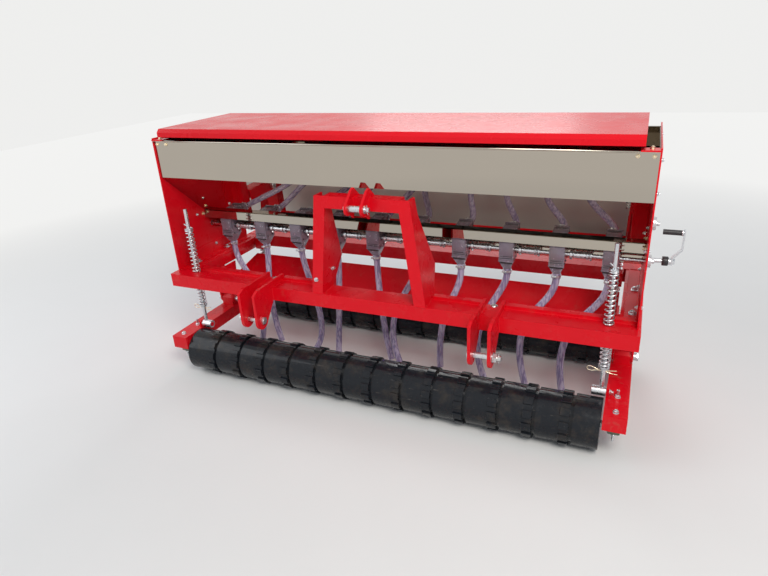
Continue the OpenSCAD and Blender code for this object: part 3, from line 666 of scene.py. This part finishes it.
class DRILL_OT_seed_cups(bpy.types.Operator):
    """Makes the shutters, screws and hose clamps of the ten seed cups"""
    bl_idname = "drill.seed_cups"
    bl_label = "Seed cups"

    front, half = 290.0, 29.0
    # Half width, behind the front from and to, low, high, and the rounding of the edges.
    plates = ((25, -2.2, 0, 612, 664, 0.8), (29, -3.5, 0, 594, 597.5, 0.7),
              (31, -2, 0, 584, 588, 0.7))
    # These rows are black strips laid over the slots: painted shade of the open slots.
    slots = ((24, -1, 0.4, 599, 601.6, 0.4), (24, -1, 0.4, 606, 608.6, 0.4),
             (26, 1, 3, 576, 584, 0.5))
    # The hose's end and the clamp round it: radii, and the worm's place on the ring.
    hose_in, cuff_r, clamp_r = 13.0, 16.8, 18.0
    worm = Vector((-6, -18, 5.5))

    def execute(self, context):
        shutters, slots, cuffs, clamps = bmesh.new(), bmesh.new(), bmesh.new(), bmesh.new()
        for cup in CUPS:
            self.shutter(shutters, slots, cup)
            self.clamp(cuffs, clamps, cup)
        finish_piece("cup_shutters", shutters, "clear_plastic")
        # The black strips in this piece are painted shade of the slots; the screws are black
        # plastic.
        finish_piece("cup_slots", slots, "black_plastic")
        finish_piece("hose_cuffs", cuffs, "clear_hose", smooth=50.0)
        finish_piece("hose_clamps", clamps, "zinc_plate")
        return {"FINISHED"}

    def shutter(self, clear, dark, cup):
        """The sliding front plate, black strips under it that paint the shade of its slots, and
        the screws at the sides.
        """
        for bm, rows in ((clear, self.plates), (dark, self.slots)):
            for half, near, far, low, high, bevel in rows:
                slab(bm, (cup - half, self.front + near, low),
                     (cup + half, self.front + far, high), bevel)
        for side in SIDES:
            for depth in (16, 54):
                rivet(dark, (cup + side * self.half, self.front + depth, 594), (side, 0, 0), 4.2)
            rivet(clear, (cup + side * 20, self.front - 2, 657), -Y, 3.0)

    def clamp(self, cuffs, clamps, cup):
        """The hose's end over the spout, and the worm clamp round it."""
        base = facing((cup, METER_Y, SPOUT_Z), Z)
        band(cuffs, lifted(base, -6), self.hose_in, self.cuff_r, 22)
        band(clamps, lifted(base, 1), self.cuff_r, self.clamp_r, 9)
        middle = Vector((cup, METER_Y, SPOUT_Z)) + self.worm
        slab(clamps, middle - Vector((6, 3, 5)), middle + Vector((6, 4, 5)), 1.2)
        rod(clamps, middle - Vector((9, 1, 0)), middle + Vector((8, -1, 0)), 3.2, 12, 0.6)
        hexagon(clamps, facing(middle - Vector((8, 1, 0)), -X), 8, 3.5)


class DRILL_OT_metering_shaft(bpy.types.Operator):
    """Makes the metering shaft with its fluted wheels, sleeves and collars"""
    bl_idname = "drill.metering_shaft"
    bl_label = "Metering shaft"

    shaft_r, past_beam = 8.0, 20.0
    wheel_r, wheel_w, flutes, flute_depth = 22.0, 40.0, 14, 0.8
    # From the side of a cup to the right: start, length and radius of collar, sleeve and rings.
    cup_half = 29.0
    sleeves = ((16, 11, 17), (30, 46, 12.5), (77, 6, 17), (85, 4, 15), (91, 6, 17))
    # Their set screws: place, and how far each leans forward.
    screws = ((21.5, -0.6), (94, -0.9))

    def execute(self, context):
        bm = bmesh.new()
        end = HALF_W + self.past_beam
        rod(bm, (-end, METER_Y, METER_Z), (end, METER_Y, METER_Z), self.shaft_r, 24, 1.2)
        for cup in CUPS:
            self.wheel(bm, cup)
        for cup in CUPS[:-1]:
            self.sleeve(bm, cup + self.cup_half)
        finish_piece("metering_shaft", bm, "zinc_plate", body="meter_shaft",
                     replaces=("meter_shaft",))
        return {"FINISHED"}

    def wheel(self, bm, cup):
        """A fluted seed wheel inside a cup."""
        part = bmesh.new()
        made = bmesh.ops.create_circle(part, segments=4 * self.flutes,
                                       radius=mm(self.wheel_r), cap_ends=True)
        dips = [v for k, v in enumerate(made["verts"]) if k % 4 in (1, 2)]
        bmesh.ops.scale(part, vec=(self.flute_depth, self.flute_depth, 1.0), verts=dips)
        bmesh.ops.translate(part, vec=(0, 0, mm(self.wheel_w)),
                            verts=pushed_corners(part, list(part.faces)))
        bmesh.ops.recalc_face_normals(part, faces=part.faces)
        add(bm, part, facing((cup - self.wheel_w / 2, METER_Y, METER_Z), X))

    def sleeve(self, bm, side):
        """What stands on the shaft between two cups, right of the side of the left one."""
        for start, length, radius in self.sleeves:
            rod(bm, (side + start, METER_Y, METER_Z), (side + start + length, METER_Y, METER_Z),
                radius, 28, 0.8)
        for shift, lean in self.screws:
            direction = Vector((0, lean, -1)).normalized()
            foot = Vector((side + shift, METER_Y, METER_Z)) + direction * 16.5
            bolt(bm, foot, direction, 5.5, washer=False, stub=0)


class DRILL_OT_hopper_trim(bpy.types.Operator):
    """Makes the rolled rims and the fastenings of the hopper and its lid"""
    bl_idname = "drill.hopper_trim"
    bl_label = "Hopper trim"

    panel_y, rear_y, rim_z = 52.0, 544.0, 1078.0
    rim_half, rim_r, rim_in = 934.0, 3.6, 10.0
    panel_bolt_xs, panel_bolt_z = (929, 976), 1064.0
    hinge_bolt_shifts, hinge_bolt_z = (-24, -6), 1034.0

    def execute(self, context):
        rims, bolts = bmesh.new(), bmesh.new()
        for y in (self.panel_y - self.rim_in, self.rear_y + self.rim_in):
            rod(rims, (-self.rim_half, y, self.rim_z + 1), (self.rim_half, y, self.rim_z + 1),
                self.rim_r, 16, 1.0)
        finish_piece("hopper_rims", rims, "stainless", smooth=50.0)
        for side in SIDES:
            for x in self.panel_bolt_xs:
                bolt(bolts, (side * x, self.panel_y, self.panel_bolt_z), -Y, 6.5, turn=0.3)
                bolt(bolts, (side * x, self.rear_y + 2, self.panel_bolt_z), Y, 6.5, turn=0.2)
            bolt(bolts, (side * 968, 66, 1085), Z, 7.5, turn=0.5)
            bolt(bolts, (side * PLATE_IN, 268, 694), (-side, 0, 0), 7.5, stub=6)
        for hinge in (-PLATE_IN * 2 / 3, 0, PLATE_IN * 2 / 3):
            for shift in self.hinge_bolt_shifts:
                bolt(bolts, (hinge + shift, self.rear_y + 4, self.hinge_bolt_z), Y, 4.5,
                     washer=False, stub=0)
        finish_piece("hopper_bolts", bolts, "brass_zinc")
        return {"FINISHED"}


class DRILL_OT_frame_bolts(bpy.types.Operator):
    """Makes the bolts of the side plates, mast, arms and legs"""
    bl_idname = "drill.frame_bolts"
    bl_label = "Frame bolts"

    # The plates' angle on the rail: its middle, its top, and the top of a square washer.
    angle_x, angle_top, washer_top, washer_half = 972.0, 484.8, 488.0, 13.0
    angle_in, low_row_ys, low_row_z = 986.0, (130, 318, 500), 526.0
    plate_bolts = ((72, 1050), (72, 945), (560, 1050), (560, 945), (226, 700), (430, 700))
    flange_r, flange_angles = 31.0, (40, 160, 280)
    # Along the arm from the shaft, and the thread's ends above and below.
    bearing_bolts = ((-50, 4, 24), (50, 22, 4))
    arm_low, ear_z, leg_bolt_ys, leg_bolt_z = 106.0, 211.0, (292, 348), 400.0
    arm_w = 80.0

    def execute(self, context):
        bm = bmesh.new()
        for side in SIDES:
            self.side_plate(bm, side)
            self.mast_leg(bm, side)
            self.arm(bm, side)
        finish_piece("frame_bolts", bm, "zinc_plate")
        return {"FINISHED"}

    def side_plate(self, bm, side):
        out, inward, outward = side * PLATE_OUT, (-side, 0, 0), (side, 0, 0)
        x, half = side * self.angle_x, self.washer_half
        for y in (160, 380):
            slab(bm, (x - half, y - half, self.angle_top), (x + half, y + half, self.washer_top),
                 0.6)
            bolt(bm, (x, y, self.washer_top), Z, 11, turn=0.2 * y)
        for y in self.low_row_ys:
            bolt(bm, (side * self.angle_in, y, self.low_row_z), inward, 7.5, stub=4)
            bolt(bm, (out, y, self.low_row_z), outward, 7.5)
        for y, z in self.plate_bolts:
            bolt(bm, (out, y, z), outward, 7)
        bolt(bm, (side * PLATE_IN, 226, 700), inward, 7)
        for z in (METER_Z, STIR_Z):
            for angle in self.flange_angles:
                a = math.radians(angle)
                bolt(bm, (out + side * 6, METER_Y + self.flange_r * math.cos(a),
                          z + self.flange_r * math.sin(a)), outward, 4.2, washer=False, stub=0)

    def mast_leg(self, bm, side):
        bolt(bm, (side * 189, 78, 567), (-side, 0, 0.12), 9, stub=7)
        if side < 0:
            bolt(bm, (side * 222, 0, 543), -Y, 9, stub=6)
        rivet(bm, (side * 490, 92, BEAM_TOP), Z, 14)

    def arm(self, bm, side):
        outward = (side, 0, 0)
        for y in ROLLER_Y.values():
            for shift, stub, low_stub in self.bearing_bolts:
                bolt(bm, (side * ARM_MID, y + shift, ARM_TOP), Z, 10.5, turn=0.4, stub=stub)
                bolt(bm, (side * ARM_MID, y + shift, self.arm_low), -Z, 10, stub=low_stub)
        for y in ROD_YS:
            bolt(bm, (side * (ARM_IN + 10), y, self.ear_z), outward, 10, stub=6)
            wire(bm, [(side * (ARM_IN + 24), y - 3, self.ear_z + 8),
                      (side * (ARM_IN + 24), y, self.ear_z - 8),
                      (side * (ARM_IN + 26), y + 3, self.ear_z - 15)], 1.6)
        for x, way in ((ARM_IN - 12, -side), (ARM_IN + self.arm_w + 12, side)):
            hexagon(bm, facing((side * x, PIVOT_Y, PIVOT_Z), (way, 0, 0), 0.3), 30, 6)
        for y in self.leg_bolt_ys:
            bolt(bm, (side * (ARM_IN + self.arm_w), y, self.leg_bolt_z), outward, 8)


class DRILL_OT_rail_edges(bpy.types.Operator):
    """Makes the strips along the inner sides of the rails, and their welds"""
    bl_idname = "drill.rail_edges"
    bl_label = "Rail edges"

    inner, rail_in, front, rear = 932.0, 945.0, 100.5, 609.5

    def execute(self, context):
        bm = bmesh.new()
        for side in SIDES:
            low, high = sorted((side * self.inner, side * self.rail_in))
            slab(bm, (low, self.front, FRAME_Z + 1), (high, self.rear, BEAM_TOP - 0.5), 2.5)
            seam = side * self.rail_in
            weld(bm, (seam, 114, BEAM_TOP - 1), (seam, 606, BEAM_TOP - 1), 1.8)
        finish_piece("rail_edges", bm, "red_paint")
        return {"FINISHED"}


class DRILL_OT_rod_fittings(bpy.types.Operator):
    """Makes the split pins, hairpins and washers of the spring rods"""
    bl_idname = "drill.rod_fittings"
    bl_label = "Spring rod fittings"

    # The hairpin from its short tail round its bow to its long tail: sideways and up.
    hairpin = [(44, 6), (24, 3), (8, 1), (-12, 0), (-28, 4), (-42, 10), (-53, 9), (-57, 1),
               (-52, -7), (-40, -8), (-26, -3), (-12, -1), (8, -3), (26, -7), (48, -8)]
    # The split pin from the middle of the rod.
    split_pin = [(-17, -6, 712), (-9, -3, 704), (9, 3, 695), (15, 7, 691)]
    hairpin_z, low_washer_z, top_washer_z, rod_r = 296.0, 303.0, 689.0, 8.0

    def execute(self, context):
        pins, clips = bmesh.new(), bmesh.new()
        for side in SIDES:
            x = side * ROD_X
            for y in ROD_YS:
                wire(pins, [(x + dx, y + dy, z) for dx, dy, z in self.split_pin], 2.4)
                band(pins, facing((x, y, self.top_washer_z), Z), self.rod_r, 16.0, 3)
                wire(clips, [(x + dx, y - 0.05 * dx, self.hairpin_z + dz)
                             for dx, dz in self.hairpin], 1.8)
                band(pins, facing((x, y, self.low_washer_z), Z), self.rod_r, 15.0, 4)
        finish_piece("rod_pins", pins, "zinc_plate")
        finish_piece("rod_hairpins", clips, "brass_zinc", smooth=60.0)
        return {"FINISHED"}


class DRILL_OT_hitch_fittings(bpy.types.Operator):
    """Makes the nuts, washers and split pins of the hitch"""
    bl_idname = "drill.hitch_fittings"
    bl_label = "Hitch fittings"

    low_y, low_z, top_y, top_z = -92.0, 365.0, -40.0, 864.0
    # Across the width: the outsides of the lower and upper lugs, and their split pins.
    lug_out, lug_in, low_pin_x, ear_out, top_pin_x = 532.0, 448.0, 553.0, 37.0, 47.0

    def execute(self, context):
        bm = bmesh.new()
        for side in SIDES:
            outer = facing((side * self.lug_out, self.low_y, self.low_z), (side, 0, 0))
            band(bm, outer, 11.0, 20.0, 3)
            hexagon(bm, lifted(outer, 3), 30, 13)
            inner = facing((side * self.lug_in, self.low_y, self.low_z), (-side, 0, 0), 0.2)
            hexagon(bm, inner, 30, 9)
            self.split_pin(bm, side * self.low_pin_x, self.low_y, self.low_z,
                           ((0, 0, 21), (0, 0, -17), (3, 4, -23)))
        lathe(bm, [(0, 0), (15, 0), (16, 1), (16, 5), (14.5, 6), (0, 6)],
              facing((-self.ear_out, self.top_y, self.top_z), -X), 28)
        band(bm, facing((self.ear_out, self.top_y, self.top_z), X), 9.5, 15.0, 3)
        self.split_pin(bm, self.top_pin_x, self.top_y, self.top_z,
                       ((0, 0, 18), (0, 0, -14), (2, 4, -19)))
        finish_piece("hitch_fittings", bm, "zinc_plate")
        return {"FINISHED"}

    def split_pin(self, bm, x, y, z, shifts):
        """A pin through the end of a hitch pin, with its tail bent aside."""
        wire(bm, [(x + dx, y + dy, z + dz) for dx, dy, dz in shifts], 1.8)


class DRILL_OT_welds(bpy.types.Operator):
    """Makes the painted weld beads of the frame, hitch and mast"""
    bl_idname = "drill.welds"
    bl_label = "Weld beads"

    # The sides of the lower lugs, the mast's legs and the upper ears.
    lug_xs, leg_xs, ear_xs = (448, 460, 520, 532), (200, 248), (27, 37)
    strip_y, strip_runs = 84.0, ((250, 446), (534, 986))
    ear_low, ear_high = 850.0, 894.0

    def execute(self, context):
        bm = bmesh.new()
        for side in SIDES:
            for x in self.lug_xs:
                weld(bm, (side * x, 0, FRAME_Z + 2), (side * x, 0, BEAM_TOP - 2), 3.0)
                weld(bm, (side * x, 2, BEAM_TOP), (side * x, 98, BEAM_TOP), 3.0)
            for x in self.leg_xs:
                weld(bm, (side * x, 2, BEAM_TOP), (side * x, 96, BEAM_TOP), 3.0)
            low, high = self.leg_xs
            weld(bm, (side * (low + 2), 0, BEAM_TOP), (side * (high - 2), 0, BEAM_TOP), 2.6)
            weld(bm, (side * (HALF_W - 58), 610, BEAM_TOP), (side * (HALF_W - 2), 610, BEAM_TOP),
                 2.6)
            leg_x = side * (HALF_W - 7)
            weld(bm, (leg_x, 278, FRAME_Z), (leg_x, 362, FRAME_Z), 2.6)
            for y in ROD_YS:
                ear_x = side * (ARM_IN + 10)
                weld(bm, (ear_x, y - 19, ARM_TOP), (ear_x, y + 19, ARM_TOP), 2.6)
            for x in self.ear_xs:
                weld(bm, (side * x, 3, self.ear_high + 1), (side * x, 53, self.ear_high + 1), 2.6)
                weld(bm, (side * x, 0, self.ear_low), (side * x, 0, self.ear_high), 2.6)
            for low, high in self.strip_runs:
                weld(bm, (side * low, self.strip_y, BEAM_TOP),
                     (side * high, self.strip_y, BEAM_TOP), 2.2)
        finish_piece("weld_beads", bm, "red_paint", smooth=60.0)
        return {"FINISHED"}


class DRILL_OT_bearings(bpy.types.Operator):
    """Makes the pillow blocks that carry the rollers, with their grease nipples"""
    bl_idname = "drill.bearings"
    bl_label = "Bearing blocks"

    foot_wide, body_wide, bore, foot_low, foot_high = 32.0, 18.0, 12.9, 121.0, 135.0
    foot_half, body_r, ring_r = 64.0, 31.0, 24.0
    # The side of the housing from the shaft: along the arm, and above the foot or the shaft.
    flare_low, flare_high = ((18, 2), (62, 2)), ((60, 6), (54, 4), (20, 4))
    nipple = [(0, 4), (3.4, 4), (2.2, 7), (3.6, 9.5), (2.6, 12), (0, 12.6)]

    def execute(self, context):
        bm, nipples = bmesh.new(), bmesh.new()
        for side in SIDES:
            for y in ROLLER_Y.values():
                self.block(bm, side * ARM_MID, y)
                tip = facing((side * (ARM_MID + 2), y - 22.5, AXLE_Z - 19.8), (0, -0.75, -0.66))
                hexagon(nipples, tip, 10, 4)
                lathe(nipples, self.nipple, tip, 14)
        finish_piece("pillow_blocks", bm, "bearing_housing",
                     replaces=("bearing_blocks",))
        finish_piece("grease_nipples", nipples, "zinc_plate")
        return {"FINISHED"}

    def block(self, bm, x, y):
        """A flat foot, a round housing that flares into it, and a ring round the shaft."""
        slab(bm, (x - self.foot_wide, y - self.foot_half, self.foot_low),
             (x + self.foot_wide, y + self.foot_half, self.foot_high), 3)
        band(bm, facing((x - self.body_wide, y, AXLE_Z), X), self.bore, self.body_r,
             2 * self.body_wide)
        for out in SIDES:
            flare = [(y + out * along, self.foot_low + up) for along, up in self.flare_low]
            flare += [(y + out * along, AXLE_Z + up) for along, up in self.flare_high]
            outline_plate(bm, flare, x - self.body_wide - 3, 2 * self.body_wide + 6, 2.5)
            band(bm, facing((x + out * self.body_wide, y, AXLE_Z), (out, 0, 0)), self.bore,
                 self.ring_r, 3)


class DRILL_OT_crank_parts(bpy.types.Operator):
    """Makes the collar, hub and fastenings of the crank"""
    bl_idname = "drill.crank_parts"
    bl_label = "Crank parts"

    y, z, collar_x, hub_x, tip_x, length = 420.0, 600.0, 1054.0, 1074.0, 1120.0, 115.0
    collar = [(9, 0), (17, 0), (18, 1.5), (18, 18), (16, 22), (9, 22), (9, 0)]
    flange_r, flange_angles = 16.0, (30, 150, 270)

    def execute(self, context):
        black, bright = bmesh.new(), bmesh.new()
        lathe(black, self.collar, facing((self.collar_x, self.y, self.z), X), 28)
        finish_piece("crank_collar", black, "black_plastic")
        lathe(bright, [(0, 0), (13, 0), (14, 1), (14, 9), (0, 9)],
              facing((self.hub_x, self.y, self.z), X), 28)
        hexagon(bright, facing((self.tip_x - 30, self.y, self.z), X), 20, 8)
        lathe(bright, [(0, 0), (10.5, 0), (11.5, 1), (11.5, 5), (0, 5)],
              facing((self.tip_x - 12, self.y, self.z + self.length), X), 24)
        for angle in self.flange_angles:
            a = math.radians(angle)
            bolt(bright, (PLATE_OUT + 8, self.y + self.flange_r * math.cos(a),
                          self.z + self.flange_r * math.sin(a)), X, 3.6, washer=False, stub=0)
        finish_piece("crank_fittings", bright, "zinc_plate")
        return {"FINISHED"}


def backdrop_rays(tree):
    """1 for the rays that see the backdrop: the camera's, reflected and transmitted ones."""
    path = tree.nodes.new("ShaderNodeLightPath")
    result = path.outputs["Is Camera Ray"]
    for other in ("Is Glossy Ray", "Is Transmission Ray"):
        either = tree.nodes.new("ShaderNodeMath")
        either.operation = "MAXIMUM"
        tree.links.new(result, either.inputs[0])
        tree.links.new(path.outputs[other], either.inputs[1])
        result = either.outputs["Value"]
    return result


class DRILL_OT_stage(bpy.types.Operator):
    """Makes the floor, the studio lights and the camera"""
    bl_idname = "drill.stage"
    bl_label = "Stage"

    # Each lamp's name, place and size in metres, share of the key light's power, and colour.
    lamps = (("key", (1.9, -2.6, 3.4), 1.6, 1.0, (1.0, 0.97, 0.92)),
             ("fill", (-3.2, -1.6, 2.2), 2.4, 0.35, (0.92, 0.96, 1.0)),
             ("rim", (-0.6, 3.0, 2.8), 2.0, 0.4, (1.0, 1.0, 1.0)))
    aim = Vector((0, 0, 0.5))
    eye, tilt, sensor = (943.39, -1883.29, 1441.47), (66.509, 3.0157, 23.3543), 36.0
    # Metres from the middle: the floor's edge, and where it starts and ends to turn to backdrop.
    floor_half, fade_from, fade_to = 9.0, 1.7, 4.5
    sky, sky_strength = (0.80, 0.86, 0.95, 1.0), 0.5

    def execute(self, context):
        sizes = context.scene.drill_sizes
        self.floor()
        self.world()
        for name, place, size, share, colour in self.lamps:
            lamp = bpy.data.lights.new(name, "AREA")
            lamp.size = size
            lamp.energy = sizes.lamp * share
            lamp.color = colour
            holder = bpy.data.objects.new(name, lamp)
            holder.location = place
            holder.rotation_euler = (self.aim - Vector(place)).to_track_quat("-Z", "Y").to_euler()
            bpy.context.scene.collection.objects.link(holder)
        view = bpy.data.cameras.new("camera")
        view.lens = sizes.lens
        view.sensor_width = self.sensor
        camera = bpy.data.objects.new("camera", view)
        camera.location = at(*self.eye)
        camera.rotation_euler = [math.radians(a) for a in self.tilt]
        bpy.context.scene.collection.objects.link(camera)
        bpy.context.scene.camera = camera
        bpy.context.scene.view_settings.view_transform = "Standard"
        return {"FINISHED"}

    def floor(self):
        """A pale floor that keeps the shadow and turns to the backdrop's colour far away."""
        bm = bmesh.new()
        bmesh.ops.create_grid(bm, x_segments=1, y_segments=1, size=self.floor_half)
        mesh = bpy.data.meshes.new("floor")
        bm.to_mesh(mesh)
        bm.free()
        floor = bpy.data.objects.new("floor", mesh)
        bpy.context.scene.collection.objects.link(floor)
        f = Finish("floor_paint", (0.80, 0.79, 0.77), roughness=0.75, Specular_IOR_Level=0.1,
                   Emission_Color=BACKDROP)
        f.tint(f.ramp(f.noise(3.0, 4.0), 0.3, 0.8, 0.0, 0.3), (0.76, 0.75, 0.73))
        far = f.node("ShaderNodeVectorMath", operation="LENGTH")
        f.link(f.coords, far.inputs[0])
        away = f.times(f.ramp(far.outputs["Value"], self.fade_from, self.fade_to),
                       backdrop_rays(f.tree))
        f.link(away, f.shader.inputs["Emission Strength"])
        f.tint(away, (0.0, 0.0, 0.0))
        mesh.materials.append(f.material)

    def world(self):
        """The backdrop for the rays that see it, and an even sky for the others."""
        world = bpy.data.worlds.new("studio")
        bpy.context.scene.world = world
        world.use_nodes = True
        tree = world.node_tree
        tree.nodes.clear()
        seen = tree.nodes.new("ShaderNodeBackground")
        seen.inputs["Color"].default_value = BACKDROP
        lit = tree.nodes.new("ShaderNodeBackground")
        lit.inputs["Color"].default_value = self.sky
        lit.inputs["Strength"].default_value = self.sky_strength
        mix = tree.nodes.new("ShaderNodeMixShader")
        out = tree.nodes.new("ShaderNodeOutputWorld")
        tree.links.new(backdrop_rays(tree), mix.inputs[0])
        tree.links.new(lit.outputs[0], mix.inputs[1])
        tree.links.new(seen.outputs[0], mix.inputs[2])
        tree.links.new(mix.outputs[0], out.inputs["Surface"])


# The camera and the cords come first.
OPERATORS = [DRILL_OT_stage, DRILL_OT_finishes, DRILL_OT_seed_tubes, DRILL_OT_rollers,
             DRILL_OT_springs, DRILL_OT_seed_cups, DRILL_OT_metering_shaft,
             DRILL_OT_hopper_trim, DRILL_OT_frame_bolts, DRILL_OT_rail_edges,
             DRILL_OT_rod_fittings, DRILL_OT_hitch_fittings, DRILL_OT_welds,
             DRILL_OT_bearings, DRILL_OT_crank_parts]


class DRILL_PT_panel(bpy.types.Panel):
    bl_idname = "DRILL_PT_panel"
    bl_label = "Seed Drill"
    bl_space_type = "VIEW_3D"
    bl_region_type = "UI"
    bl_category = "Seed Drill"

    def draw(self, context):
        for settings in (context.scene.drill_sizes, context.scene.drill_colours):
            for key in settings.__annotations__:
                self.layout.prop(settings, key)
        for operator in OPERATORS:
            self.layout.operator(operator.bl_idname)


CLASSES = [DrillColours, DrillSizes, *OPERATORS, DRILL_PT_panel]


def register():
    for cls in CLASSES:
        bpy.utils.register_class(cls)
    bpy.types.Scene.drill_colours = bpy.props.PointerProperty(type=DrillColours)
    bpy.types.Scene.drill_sizes = bpy.props.PointerProperty(type=DrillSizes)


def unregister():
    del bpy.types.Scene.drill_sizes
    del bpy.types.Scene.drill_colours
    for cls in reversed(CLASSES):
        bpy.utils.unregister_class(cls)


def main():
    register()
    for operator in OPERATORS:
        group, name = operator.bl_idname.split(".")
        getattr(getattr(bpy.ops, group), name)()


if __name__ == "__main__":
    main()
